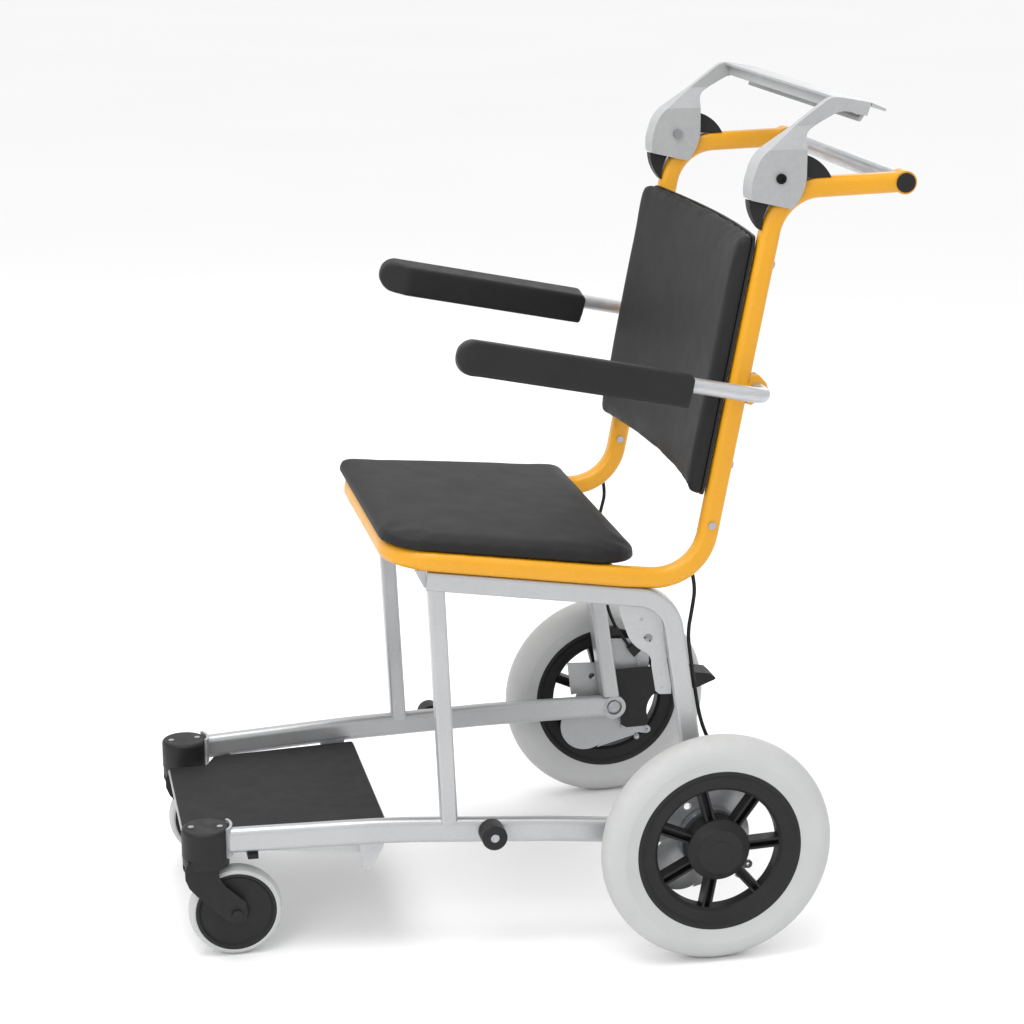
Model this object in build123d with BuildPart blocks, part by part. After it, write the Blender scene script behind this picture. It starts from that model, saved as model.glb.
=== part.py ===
from build123d import *
"""Wheeled transfer chair: two large rear wheels with drum brakes, two front castors,
a bent tube frame, padded seat, back and arms, and a dead-man brake bar over the push bar.

Frame: origin on the floor under the middle of the overall box, +Z up, the sitter faces -Y
and +X is the sitter's left. Side outlines are drawn in planes whose own origin is on the
floor under the rear axle, so their coordinates are (distance behind the axle, height).
Left-hand pieces are modelled and right-hand pieces are their mirror images.
"""
import os
from math import cos, radians, sin, tan

# ---------------------------------------------------------------- driving dimensions (mm)
AXLE_Y = 215.0          # rear axle, behind the middle of the overall length
WHEEL_R = 156.0         # rear wheel, 12 1/2 inch
WHEEL_X = 312.5         # middle plane of a rear wheel
RIM_SEAT_R = 111.0
SPOKE_COUNT = 7

BOSS_X, BOSS_R = 247.0, 18.0            # inner end and radius of the axle boss
AXLE_R, BEARING_R = 6.0, 16.0
RUNNING = 0.05                          # radial running clearance

TUBE, TUBE_CORNER = 26.0, 9.0           # yellow frame tube, square with round corners
UPRIGHT_X = 245.5                       # middle plane of a back upright
SEAT_SLOPE = 6.0                        # seat falls towards the back, degrees
SEAT_Y, SEAT_Z = -240.0, 528.8          # a point on the seat tubes' middle plane
UPRIGHT_FOOT_Y = -13.8                  # where seat line and upright line cross
UPRIGHT_TOP = (81.3, 1014.0)            # where upright line and handle line cross
HANDLE_END = (247.0, 1019.4)            # push bar centre
PUSH_BAR_R = 11.0

GREY_TUBE, GREY_CORNER = 25.0, 4.0      # grey top rail and rear leg
RAIL_W, RAIL_H, RAIL_CORNER = 20.0, 34.0, 9.0
RAIL_POINTS = [(180, -632, 164.2), (201, -420, 169.6), (230, -205, 165.5), (256.6, -6, 156.4)]

CASTOR_X, CASTOR_Y = 171.0, -660.0
CASTOR_R, CASTOR_WIDTH, CASTOR_TRAIL = 62.5, 28.0, 36.5
CASTOR_HEAD_R, CASTOR_HEAD_Z, CASTOR_TOP_Z = 32.0, 143.0, 182.0

BRAKE_PIVOT = (79.0, 1029.8)            # dead-man bar pivot
ARM_PIVOT = (57.0, 757.8)               # armrest pivot
ARM_X, ARM_TUBE_R = 297.0, 10.0
FOOT_PIVOT = (-440.0, 141.0)            # footplate hinge
LEVER_PIVOT, LEVER_END = (24.0, 117.0), (57.0, 109.0)
CABLE_R = 2.5

os.makedirs("parts", exist_ok=True)


def side(x):
    """Plane parallel to YZ at x: local (y behind the axle, height)."""
    return Plane(origin=(x, AXLE_Y, 0), x_dir=(0, 1, 0), z_dir=(1, 0, 0))


def level(z):
    """Horizontal plane at height z: local (x, y behind the axle)."""
    return Plane(origin=(0, AXLE_Y, z))


def write(piece, name):
    piece.label = name
    export_step(piece, f"parts/{name}.step")


def write_pair(piece, name):
    """Write the left piece and its mirror image as two nodes."""
    write(piece, f"{name}_left")
    write(mirror(piece, about=Plane.YZ), f"{name}_right")


def write_both(piece, name):
    """Write the left piece and its mirror image as separate solids of one node."""
    both = Compound(children=[*piece.solids(), *mirror(piece, about=Plane.YZ).solids()])
    write(both, name)


def section_plane(line, across=(1, 0, 0)):
    """Plane across the start of a path, its x direction as near to `across` as it can be."""
    tangent = line % 0
    across = Vector(*across)
    x_dir = across - tangent * across.dot(tangent)
    return Plane(origin=line @ 0, x_dir=x_dir.normalized(), z_dir=tangent)


def at(point):
    """A point (x, y behind the axle, height) in the part's frame."""
    return (point[0], AXLE_Y + point[1], point[2])


# The seat plane: middle plane of the seat tubes, local (x, distance up the seat's slope).
seat_plane = Plane(
    origin=(0, AXLE_Y + SEAT_Y, SEAT_Z),
    x_dir=(1, 0, 0),
    z_dir=(0, sin(radians(SEAT_SLOPE)), cos(radians(SEAT_SLOPE))),
)
# The splayed plane of the grey side frame, 7 degrees open towards the back.
SPLAY = 7.05
leg_plane = Plane(
    origin=(257.6, AXLE_Y, 0),
    x_dir=(sin(radians(SPLAY)), cos(radians(SPLAY)), 0),
    z_dir=(cos(radians(SPLAY)), -sin(radians(SPLAY)), 0),
)


def seat_drop(y):
    """Height of the seat tubes' middle plane at y behind the axle."""
    return SEAT_Z - tan(radians(SEAT_SLOPE)) * (y - SEAT_Y)


# ---------------------------------------------------------------- grey base frame
with BuildPart() as axle_boss:
    with BuildSketch(side(BOSS_X)):
        with Locations((0, WHEEL_R)):
            Circle(BOSS_R)
    extrude(amount=24.5)
    with BuildSketch(side(BOSS_X)):
        with Locations((0, WHEEL_R)):
            Circle(12)
    extrude(amount=7, mode=Mode.SUBTRACT)
    with BuildSketch(side(BOSS_X)):
        with Locations((0, WHEEL_R)):
            Circle(AXLE_R)
    extrude(amount=24.5, mode=Mode.SUBTRACT)
write_both(axle_boss.part, "axle_bosses")

with BuildPart() as lower_rail:
    with BuildLine() as rail_line:
        FilletPolyline(*[at(p) for p in RAIL_POINTS], radius=1500)
    with BuildSketch(section_plane(rail_line.line)):
        RectangleRounded(RAIL_W, RAIL_H, RAIL_CORNER)
    sweep(path=rail_line.line)
    with BuildSketch(side(BOSS_X - 20)):
        with Locations((0, WHEEL_R)):
            Circle(BOSS_R)
    extrude(amount=60, mode=Mode.SUBTRACT)
    with BuildSketch(level(140)):
        with Locations((CASTOR_X, CASTOR_Y)):
            Circle(CASTOR_HEAD_R)
    extrude(amount=60, mode=Mode.SUBTRACT)
write_pair(lower_rail.part, "lower_rail")

RAIL_DROP = (TUBE + GREY_TUBE) / 2 / cos(radians(SEAT_SLOPE))
with BuildPart() as top_rail:
    with BuildLine(leg_plane) as leg_line:
        FilletPolyline(
            (-371, seat_drop(-368) - RAIL_DROP),
            (-54.2, seat_drop(-53.8) - RAIL_DROP),
            (-3, WHEEL_R),
            radius=50,
        )
    with BuildSketch(section_plane(leg_line.line)):
        RectangleRounded(GREY_TUBE, GREY_TUBE, GREY_CORNER)
    sweep(path=leg_line.line)
    with BuildSketch(level(0)):
        with Locations((257, 0)):
            Rectangle(60, 80)
    extrude(amount=WHEEL_R + RAIL_H / 2 + 1.3, mode=Mode.SUBTRACT)
    add(axle_boss.part, mode=Mode.SUBTRACT)
write_pair(top_rail.part, "side_frame")

with BuildPart() as front_post:
    with BuildLine() as post_line:
        Line(at((211, -340.3, 176)), at((214.5, -356.8, 510)))
    with BuildSketch(section_plane(post_line.line)):
        RectangleRounded(RAIL_W, 22, 4)
    sweep(path=post_line.line)
    add(lower_rail.part, mode=Mode.SUBTRACT)
    add(top_rail.part, mode=Mode.SUBTRACT)
write_both(front_post.part.solids().sort_by(SortBy.VOLUME)[-1], "front_posts")

with BuildPart() as bracket_plate:
    with BuildSketch(leg_plane.offset(-9)):
        with BuildLine():
            l1 = Polyline((-119, 479.5), (-116.5, 459), (-108, 435))
            l2 = ThreePointArc(l1 @ 1, (-99, 419.5), (-83, 408))
            l3 = ThreePointArc(l2 @ 1, (-77.5, 402), (-75, 390))
            l4 = Polyline(l3 @ 1, (-69, 354), (-64, 349.5), (-48.2, 349.5), (-48.2, 360),
                          (-62, 440), (-70, 462), (-92, 477), (-119, 479.5))
        make_face()
        with Locations((-79.8, 427.5)):
            Circle(6, mode=Mode.SUBTRACT)
        with Locations((-89.5, 454.2)):
            Circle(2.6, mode=Mode.SUBTRACT)
        with Locations((-62.5, 378), (-60.8, 358.5)):
            Circle(2.5, mode=Mode.SUBTRACT)
    extrude(amount=3)
    with BuildSketch(leg_plane.offset(-1.5)):
        with BuildLine():
            Polyline((-386.5, 530), (-371, 528.2), (-371, 506), (-374, 506), (-386.5, 530))
        make_face()
    extrude(amount=3)
    add(top_rail.part, mode=Mode.SUBTRACT)
write_both(bracket_plate.part, "side_plates")

# ---------------------------------------------------------------- yellow seat and back frame
LOOP = [(UPRIGHT_X, -92), (UPRIGHT_X, -112), (207.7, -409)]


def seat_point(x, y):
    return (x, (y - SEAT_Y) / cos(radians(SEAT_SLOPE)))


with BuildPart() as seat_frame:
    with BuildLine(seat_plane) as loop_line:
        right_side = [seat_point(x, y) for x, y in LOOP]
        left_side = [(-x, v) for x, v in reversed(right_side)]
        FilletPolyline(*right_side, *left_side, radius=[110, 62, 62, 110])
    with BuildSketch(section_plane(loop_line.line)):
        RectangleRounded(TUBE, TUBE, TUBE_CORNER)
    sweep(path=loop_line.line)
write(seat_frame.part, "seat_frame")

with BuildPart() as upright:
    with BuildLine(side(UPRIGHT_X)) as upright_line:
        FilletPolyline(
            (-92, seat_drop(-92)), (UPRIGHT_FOOT_Y, seat_drop(UPRIGHT_FOOT_Y)), UPRIGHT_TOP,
            HANDLE_END, radius=[68, 68],
        )
    with BuildSketch(section_plane(upright_line.line)):
        RectangleRounded(TUBE, TUBE, TUBE_CORNER)
    sweep(path=upright_line.line)
    with BuildSketch(side(UPRIGHT_X - TUBE / 2)):
        with Locations(HANDLE_END):
            Circle(15)
    extrude(amount=TUBE)
    with BuildSketch(side(UPRIGHT_X - 10)):
        with BuildLine():
            Polyline((44, 740), (50, 738), (70, 750), (70, 766), (60, 777), (48, 777), (44, 740))
        make_face()
        with Locations(ARM_PIVOT):
            Circle(15)
    extrude(amount=20)
    with BuildSketch(side(UPRIGHT_X - TUBE)):
        with Locations(HANDLE_END):
            Circle(PUSH_BAR_R)
        with Locations(ARM_PIVOT):
            Circle(ARM_TUBE_R + RUNNING)
        with Locations(BRAKE_PIVOT):
            Circle(4)
    extrude(amount=2 * TUBE, mode=Mode.SUBTRACT)
write_pair(upright.part, "back_upright")

with BuildPart() as push_bar:
    with BuildSketch(side(-UPRIGHT_X - 11)):
        with Locations(HANDLE_END):
            Circle(PUSH_BAR_R)
            Circle(PUSH_BAR_R - 1.8, mode=Mode.SUBTRACT)
    extrude(amount=2 * (UPRIGHT_X + 11))
write(push_bar.part, "push_bar")

with BuildPart() as push_bar_plug:
    with BuildSketch(side(UPRIGHT_X + TUBE / 2)):
        with Locations(HANDLE_END):
            Circle(12.6)
    extrude(amount=2.5)
    fillet(push_bar_plug.faces().sort_by(Axis.X)[-1].edges(), 1)
    with BuildSketch(side(UPRIGHT_X + 11)):
        with Locations(HANDLE_END):
            Circle(PUSH_BAR_R)
    extrude(amount=2)
    with BuildSketch(side(UPRIGHT_X - 4)):
        with Locations(HANDLE_END):
            Circle(PUSH_BAR_R - 1.8)
    extrude(amount=15)
write_both(push_bar_plug.part, "push_bar_plugs")

with BuildPart() as cross_tube:
    tube_centre = seat_plane.from_local_coords(Vector(0, (-124 - SEAT_Y), -3.5))
    with BuildSketch(Plane(origin=(-231.0, tube_centre.Y, tube_centre.Z), x_dir=(0, 1, 0), z_dir=(1, 0, 0))):
        Circle(9.5)
        Circle(7.5, mode=Mode.SUBTRACT)
    extrude(amount=462)
    add(seat_frame.part, mode=Mode.SUBTRACT)
write(cross_tube.part, "seat_cross_tube")

# ---------------------------------------------------------------- seat and back padding
with BuildPart() as seat_board:
    with BuildSketch(seat_plane.offset(7)):
        with BuildLine():
            inner = [seat_point(x, y) for x, y in [(227, -106), (191, -390)]]
            FilletPolyline(*inner, *[(-x, v) for x, v in reversed(inner)],
                           radius=[52, 52, 6, 6], close=True)
        make_face()
    extrude(amount=5.5)
    add(seat_frame.part, mode=Mode.SUBTRACT)
write(seat_board.part, "seat_board")

with BuildPart() as seat_cushion:
    with BuildSketch(seat_plane.offset(TUBE / 2 + 0.3)):
        with BuildLine():
            outer = [seat_point(x, y) for x, y in [(253, -88), (217, -427)]]
            FilletPolyline(*outer, *[(-x, v) for x, v in reversed(outer)],
                           radius=[62, 62, 22, 22], close=True)
        make_face()
    extrude(amount=19)
    fillet(seat_cushion.faces().sort_by(Axis.Z)[-1].edges(), 7)
write(seat_cushion.part, "seat_cushion")

BACK_LEAN = radians(10.58)
back_plane = Plane(                      # across the uprights, half way up the padding
    origin=(0, AXLE_Y + 38.2, 783.2),
    x_dir=(1, 0, 0),
    z_dir=(0, sin(BACK_LEAN), cos(BACK_LEAN)),
)
BACK_HALF, BACK_HEIGHT, BACK_SAG = 250.0, 343.0, 20.0


def back_layer(front, rear, corner):
    """Layer curved in plan, from depth `front` to depth `rear` at its side edges."""
    wide, tall = BACK_HALF + 12, BACK_HEIGHT + 20
    mid = BACK_SAG
    edge = BACK_SAG * (1 - (wide / BACK_HALF) ** 2)
    with BuildPart() as layer:
        with BuildSketch(back_plane.offset(-tall / 2)):
            with BuildLine():
                ThreePointArc((-wide, front + edge), (0, front + mid), (wide, front + edge))
                Line((wide, front + edge), (wide, rear + edge))
                ThreePointArc((wide, rear + edge), (0, rear + mid), (-wide, rear + edge))
                Line((-wide, rear + edge), (-wide, front + edge))
            make_face()
        extrude(amount=tall)
        front_view = Plane(
            origin=back_plane.origin, x_dir=(1, 0, 0),
            z_dir=(0, -cos(BACK_LEAN), sin(BACK_LEAN)),
        )
        with BuildSketch(front_view.offset(-60)):
            RectangleRounded(2 * BACK_HALF, BACK_HEIGHT, corner)
        extrude(amount=120, mode=Mode.INTERSECT)
    return layer.part


write(back_layer(-20.4, -16.4, 15), "back_board")
write(back_layer(-37.0, -20.6, 15), "back_cushion")

# ---------------------------------------------------------------- dead-man brake bar
HOUSING_CENTRE = (98.0, 1003.5)
with BuildPart() as brake_housing:
    with BuildSketch(side(UPRIGHT_X - 9)):
        with Locations(HOUSING_CENTRE):
            Circle(56.8)
        with BuildLine():
            Polyline((30, 1004), (41, 1001.6), (62, 996.8), (114.5, 1000), (114.5, 1070), (30, 1070), (30, 1004))
        make_face(mode=Mode.SUBTRACT)
        with Locations(HOUSING_CENTRE):
            Circle(50.5)
        with BuildLine():
            u1 = Polyline((160, 1029.6), (135.5, 1028.8))
            u2 = ThreePointArc(u1 @ 1, (75, 1007), (58, 954))
            Polyline(u2 @ 1, (50, 920), (170, 920), (160, 1029.6))
        make_face(mode=Mode.SUBTRACT)
    extrude(amount=18)
    add(upright.part, mode=Mode.SUBTRACT)
    with BuildSketch(side(UPRIGHT_X - 9)):
        with Locations(BRAKE_PIVOT):
            Circle(4)
    extrude(amount=18, mode=Mode.SUBTRACT)
write_both(brake_housing.part.solids().sort_by(SortBy.VOLUME)[-1], "brake_housings")

# Each arm is a pressed channel that straddles the tube and narrows towards the bar.
ARM_OUTER, ARM_INNER, ARM_WALL = 264.5, 226.5, 3.5
NECK_OUTER, NECK_INNER = 251.0, 239.0
front_plane = Plane(origin=(0, AXLE_Y + 20, 0), x_dir=(1, 0, 0), z_dir=(0, -1, 0)).offset(-200)


def arm_width(inset):
    """Front view of an arm, (x, height): wide at the pivot, narrow at the bar."""
    return [
        (ARM_INNER + inset, 970), (ARM_OUTER - inset, 970), (ARM_OUTER - inset, 1066),
        (NECK_OUTER - inset, 1094), (NECK_OUTER - inset, 1150), (NECK_INNER + inset, 1150),
        (NECK_INNER + inset, 1094), (ARM_INNER + inset, 1066), (ARM_INNER + inset, 970),
    ]


with BuildPart() as arm_space:
    with BuildSketch(side(ARM_INNER)):
        with BuildLine():
            s1 = ThreePointArc((46, 985), (44.6, 1017), (52, 1046))
            s2 = Polyline(s1 @ 1, (60, 1058), (74, 1070.5), (96, 1086.5), (110, 1088), (140, 1030), (130, 970))
            Line(s2 @ 1, s1 @ 0)
        make_face()
    extrude(amount=ARM_OUTER - ARM_INNER)
    with BuildSketch(front_plane):
        with BuildLine():
            Polyline(*arm_width(ARM_WALL))
        make_face()
    extrude(amount=400, mode=Mode.INTERSECT)

with BuildPart() as brake_arm:
    with BuildSketch(side(ARM_INNER)):
        with BuildLine():
            a1 = ThreePointArc((42, 1003), (41.2, 1018), (45.3, 1037))
            a2 = ThreePointArc(a1 @ 1, (51.5, 1052.5), (61, 1063.8))
            a3 = Polyline(a2 @ 1, (86.2, 1083.4), (118.1, 1108.1), (138, 1122.8))
            a4 = ThreePointArc(a3 @ 1, (145.5, 1127.2), (154, 1128.8))
            a5 = Polyline(a4 @ 1, (164, 1127.6), (200, 1120.8), (194.6, 1104.2), (181, 1106.6))
            a6 = ThreePointArc(a5 @ 1, (166, 1110.5), (153, 1108.6))
            a7 = Polyline(a6 @ 1, (131.6, 1097), (122, 1091))
            a8 = ThreePointArc(a7 @ 1, (115.5, 1085.5), (112.8, 1077))
            a9 = Line(a8 @ 1, (113, 1032))
            a10 = ThreePointArc(a9 @ 1, (108.5, 1011), (95.3, 990.6))
            Line(a10 @ 1, a1 @ 0)
        make_face()
    extrude(amount=ARM_OUTER - ARM_INNER)
    with BuildSketch(front_plane):
        with BuildLine():
            Polyline(*arm_width(0))
        make_face()
    extrude(amount=400, mode=Mode.INTERSECT)
    add(arm_space.part, mode=Mode.SUBTRACT)
    with BuildSketch(side(ARM_INNER)):
        with Locations(BRAKE_PIVOT):
            Circle(4 + RUNNING)
    extrude(amount=ARM_OUTER - ARM_INNER, mode=Mode.SUBTRACT)
write_pair(brake_arm.part, "brake_arm")

with BuildPart() as brake_bar:
    with BuildSketch(side(-NECK_INNER)):
        with BuildLine():
            Polyline(
                (152, 1128.6), (164, 1127.4), (200.2, 1120.6), (220, 1112.4), (218.8, 1109.2), (199, 1117),
                (194.6, 1103), (190, 1096), (186.5, 1096.5), (188, 1101), (191.6, 1105.5), (195, 1118.2),
                (164, 1124), (160.5, 1111), (157, 1111.5), (159, 1124.6), (152, 1125.4), (152, 1128.6),
            )
        make_face()
    extrude(amount=2 * NECK_INNER)
    with BuildSketch(side(-NECK_OUTER)):
        with BuildLine():
            Polyline((200.4, 1120.6), (220, 1112.4), (218.8, 1109.2), (200.4, 1116.6), (200.4, 1120.6))
        make_face()
    extrude(amount=2 * NECK_OUTER)
write(brake_bar.part, "brake_bar")

with BuildPart() as brake_pin:
    with BuildSketch(side(ARM_INNER - 2.5)):
        with Locations(BRAKE_PIVOT):
            Circle(4)
    extrude(amount=ARM_OUTER - ARM_INNER + 5)
    for x in (ARM_INNER - 5, ARM_OUTER + 0.3):
        with BuildSketch(side(x)):
            with Locations(BRAKE_PIVOT):
                Circle(6.5)
        extrude(amount=4.7 if x < ARM_OUTER else 3)
    with BuildSketch(side(ARM_OUTER + 1.5)):
        with Locations(BRAKE_PIVOT):
            RegularPolygon(4, 6)
    extrude(amount=2, mode=Mode.SUBTRACT)
write_both(brake_pin.part, "brake_bar_pins")

# ---------------------------------------------------------------- armrests
with BuildPart() as armrest_tube:
    with BuildLine() as arm_line:
        FilletPolyline(
            at((ARM_X, -325, 833)), at((ARM_X, *ARM_PIVOT)), at((233, *ARM_PIVOT)), radius=19,
        )
    with BuildSketch(section_plane(arm_line.line)):
        Circle(ARM_TUBE_R)
    sweep(path=arm_line.line)
write_pair(armrest_tube.part, "armrest_tube")

ARM_ROLL = 7.0                          # the pads' outer edges are higher, degrees
tube_front, tube_rear = Vector(at((ARM_X, -325, 833))), Vector(at((ARM_X, *ARM_PIVOT)))
pad_axis = (tube_rear - tube_front).normalized()
pad_across = Vector(1, 0, 0).rotate(Axis((0, 0, 0), pad_axis), -ARM_ROLL)
pad_up = pad_across.cross(pad_axis)
pad_middle = tube_front + pad_axis * (135 / cos(radians(11)))
pad_side = Plane(origin=pad_middle, x_dir=pad_axis, z_dir=pad_across)
pad_top = Plane(origin=pad_middle, x_dir=pad_axis, z_dir=pad_up)
with BuildPart() as armrest_pad:
    with BuildSketch(pad_side.offset(-22)):
        with BuildLine():
            p1 = Line((149, -29), (-128, -29.5))
            p2 = ThreePointArc(p1 @ 1, (-156.5, -8), (-130, 14.5))
            Polyline(p2 @ 1, (144, 14.5), (150, 9), (149, -29))
        make_face()
    extrude(amount=44)
    with BuildSketch(pad_top.offset(-60)):
        with BuildLine():
            FilletPolyline((155, -22), (155, 22), (-118, 22), (-158, 0), (-158, -22),
                           radius=[3, 3, 25, 7, 12], close=True)
        make_face()
    extrude(amount=120, mode=Mode.INTERSECT)
    with BuildSketch(section_plane(arm_line.line)):
        Circle(ARM_TUBE_R)
    sweep(path=arm_line.line, mode=Mode.SUBTRACT)
write_pair(armrest_pad.part, "armrest_pad")

# ---------------------------------------------------------------- rear wheels
wheel_plane = Plane(origin=(0, AXLE_Y, WHEEL_R), x_dir=(1, 0, 0), z_dir=(0, -1, 0))
wheel_axis = Axis((0, AXLE_Y, WHEEL_R), (1, 0, 0))


def turned(*points):
    """A ring turned about the wheel axis from a closed outline of (x, radius) points."""
    with BuildPart() as ring:
        with BuildSketch(wheel_plane):
            with BuildLine():
                Polyline(*points, close=True)
            make_face()
        revolve(axis=wheel_axis)
    return ring.part


with BuildPart() as rear_tyre:
    with BuildSketch(wheel_plane):
        with BuildLine():
            w = WHEEL_X
            t1 = ThreePointArc((w - 23.2, 129), (w, WHEEL_R), (w + 23.2, 129))
            Polyline(t1 @ 1, (w + 17.2, RIM_SEAT_R), (w - 17.2, RIM_SEAT_R), t1 @ 0)
        make_face()
    revolve(axis=wheel_axis)
write_pair(rear_tyre.part, "rear_tyre")

HUB_R, HUB_HALF = 42.0, 22.0
hub_in, hub_out = WHEEL_X - HUB_HALF, WHEEL_X + HUB_HALF
with BuildPart() as rear_wheel:
    add(turned(
        (w - 17.4, RIM_SEAT_R), (w + 17.4, RIM_SEAT_R), (w + 17.4, 106), (w + 14, 101), (w + 13, 87),
        (w + 9, 83), (w - 9, 83), (w - 13, 87), (w - 14, 101), (w - 17.4, 106),
    ))
    add(turned(
        (hub_in, BEARING_R), (hub_in, 38), (w - 12, HUB_R), (w + 12, HUB_R), (hub_out - 3, 33),
        (hub_out, 30), (hub_out, 17.5), (w + 14, 17.5), (w + 14, BEARING_R),
    ))
    for k in range(SPOKE_COUNT):
        angle = 54 + 360 * k / SPOKE_COUNT
        spoke = Plane(origin=(w, AXLE_Y, WHEEL_R), x_dir=(0, cos(radians(angle)), sin(radians(angle))),
                      z_dir=(1, 0, 0))
        with BuildSketch(spoke.offset(-4)):
            with Locations((62, 0)):
                Rectangle(46, 13)
        extrude(amount=3)
        with BuildSketch(spoke.offset(-10)):
            with Locations((62, 5), (62, -5)):
                Rectangle(46, 3)
        extrude(amount=20)
write_pair(rear_wheel.part, "rear_wheel")

with BuildPart() as hub_cap:
    add(turned((hub_out - 2.5, 0), (hub_out - 2.5, 17.4), (hub_out, 17.4), (hub_out + 1, 14), (hub_out + 1, 0)))
write_pair(hub_cap.part, "hub_cap")

with BuildPart() as hub_bearing:
    for x in (hub_in, hub_in + 26):
        add(turned((x, AXLE_R + RUNNING), (x, BEARING_R), (x + 10, BEARING_R), (x + 10, AXLE_R + RUNNING)))
write_pair(hub_bearing.part, "hub_bearings")

DRUM_X = 277.0
write_pair(turned(
    (DRUM_X, 38), (DRUM_X, 43), (hub_in, 43), (hub_in, 38.5), (hub_in, 17), (hub_in - 3, 17),
    (hub_in - 3, 38),
), "brake_drum")

with BuildPart() as axle_bolt:
    add(turned((BOSS_X + 2, 0), (BOSS_X + 2, 9), (BOSS_X + 7, 9), (BOSS_X + 7, AXLE_R),
               (275.2, AXLE_R), (275.2, 11), (hub_in - 0.6, 11), (hub_in - 0.6, AXLE_R),
               (hub_in + 36.6, AXLE_R), (hub_in + 36.6, 9.5), (hub_in + 40, 9.5), (hub_in + 40, 0)))
write_both(axle_bolt.part, "axle_bolts")

# ---------------------------------------------------------------- drum brakes
PLATE_X = 272.2
with BuildPart() as brake_plate:
    with BuildSketch(side(PLATE_X)):
        with Locations((0, WHEEL_R)):
            Circle(56)
        with Locations((-39, 121)):
            Circle(39)
        with BuildLine():
            Polyline((-68, 223), (-20, 221), (-2, 258), (60, 254), (60, 209), (38, 190), (-62, 172), (-68, 223))
        make_face()
        with BuildLine():
            Polyline((-20, 84), (38, 100), (50, 118), (30, 150), (-20, 84))
        make_face()
        with Locations((0, WHEEL_R)):
            Circle(AXLE_R, mode=Mode.SUBTRACT)
        with Locations((-30, 200)):
            Circle(5, mode=Mode.SUBTRACT)
    extrude(amount=3)
    with BuildSketch(side(PLATE_X - 4.7)):
        with Locations(LEVER_PIVOT):
            Circle(3)
    extrude(amount=4.7)
    with BuildSketch(side(PLATE_X - 5.9)):
        with Locations(LEVER_PIVOT):
            Circle(5)
    extrude(amount=1.2)
    for z, r, length in ((92, 1.4, 18), (94, 4, 5)):
        with BuildSketch(Plane(origin=(PLATE_X + 1.5, AXLE_Y + 42.5, z))):
            Circle(r)
        extrude(amount=length)
write_both(brake_plate.part, "brake_plates")

with BuildPart() as brake_lever:
    with BuildSketch(side(PLATE_X - 4.4)):
        with Locations(LEVER_PIVOT):
            Circle(8)
        with Locations(LEVER_END):
            Circle(6)
        with BuildLine():
            Polyline((23, 125), (58, 115), (56, 103), (22, 109), (23, 125))
        make_face()
        with Locations(LEVER_END):
            Circle(2.2, mode=Mode.SUBTRACT)
        with Locations(LEVER_PIVOT):
            Circle(3.05, mode=Mode.SUBTRACT)
    extrude(amount=4)
write_pair(brake_lever.part, "brake_lever")

CABLE_POINTS = [
    (245.5, -24, 524), (247.5, -17, 499), (253, -22.5, 469), (257.6, -29.5, 437), (258.2, -24.8, 402),
    (258.6, -18.2, 358), (259.4, -10.8, 316), (262, 3, 281), (265.5, 22, 254), (267.5, 33, 238),
]


def bend_radii(points, least=12.5):
    """Largest tangent arc that each inner corner of a route has room for."""
    route = [Vector(*p) for p in points]
    radii = []
    for before, corner, after in zip(route, route[1:], route[2:]):
        run_in, run_out = corner - before, after - corner
        turn = radians(run_in.get_angle(run_out))
        radii.append(max(least, 0.45 * min(run_in.length, run_out.length) / tan(turn / 2)))
    return radii


radii = bend_radii(CABLE_POINTS)
print("brake cable arc radii (mm):", [round(r) for r in radii])
with BuildPart() as brake_cable:
    with BuildLine() as cable_line:
        FilletPolyline(*[at(p) for p in CABLE_POINTS], radius=radii)
    with BuildSketch(section_plane(cable_line.line)):
        Circle(CABLE_R)
    sweep(path=cable_line.line)
    cable_length = sum(edge.length for edge in cable_line.edges())
    print("brake cable length", round(cable_length), "section x length",
          round(cable_length * 3.14159 * CABLE_R ** 2), "volume", round(brake_cable.part.volume))
    add(upright.part, mode=Mode.SUBTRACT)
with BuildPart() as brake_wire:
    with BuildLine() as wire_line:
        Line(at((266.8, 40, 232)), at((266.8, 56.5, 104)))
    with BuildSketch(section_plane(wire_line.line)):
        Circle(0.8)
    sweep(path=wire_line.line)
cable_solids = [brake_cable.part.solids().sort_by(SortBy.VOLUME)[-1], brake_wire.part.solid()]
write_both(Part() + cable_solids, "brake_cables")

with BuildPart() as cable_stop:
    with BuildSketch(side(256)):
        with BuildLine():
            Polyline((-9.3, 283), (9, 279), (12, 268), (-6.5, 268), (-9.3, 283))
        make_face()
    extrude(amount=11)
    with BuildSketch(side(263)):
        with BuildLine():
            Polyline((24, 243), (36, 252), (46, 240), (34, 229), (24, 243))
        make_face()
    extrude(amount=9.2)
    add(brake_cable.part, mode=Mode.SUBTRACT)
    add(brake_wire.part, mode=Mode.SUBTRACT)
    add(top_rail.part, mode=Mode.SUBTRACT)
write_both(cable_stop.part, "cable_stops")

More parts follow.
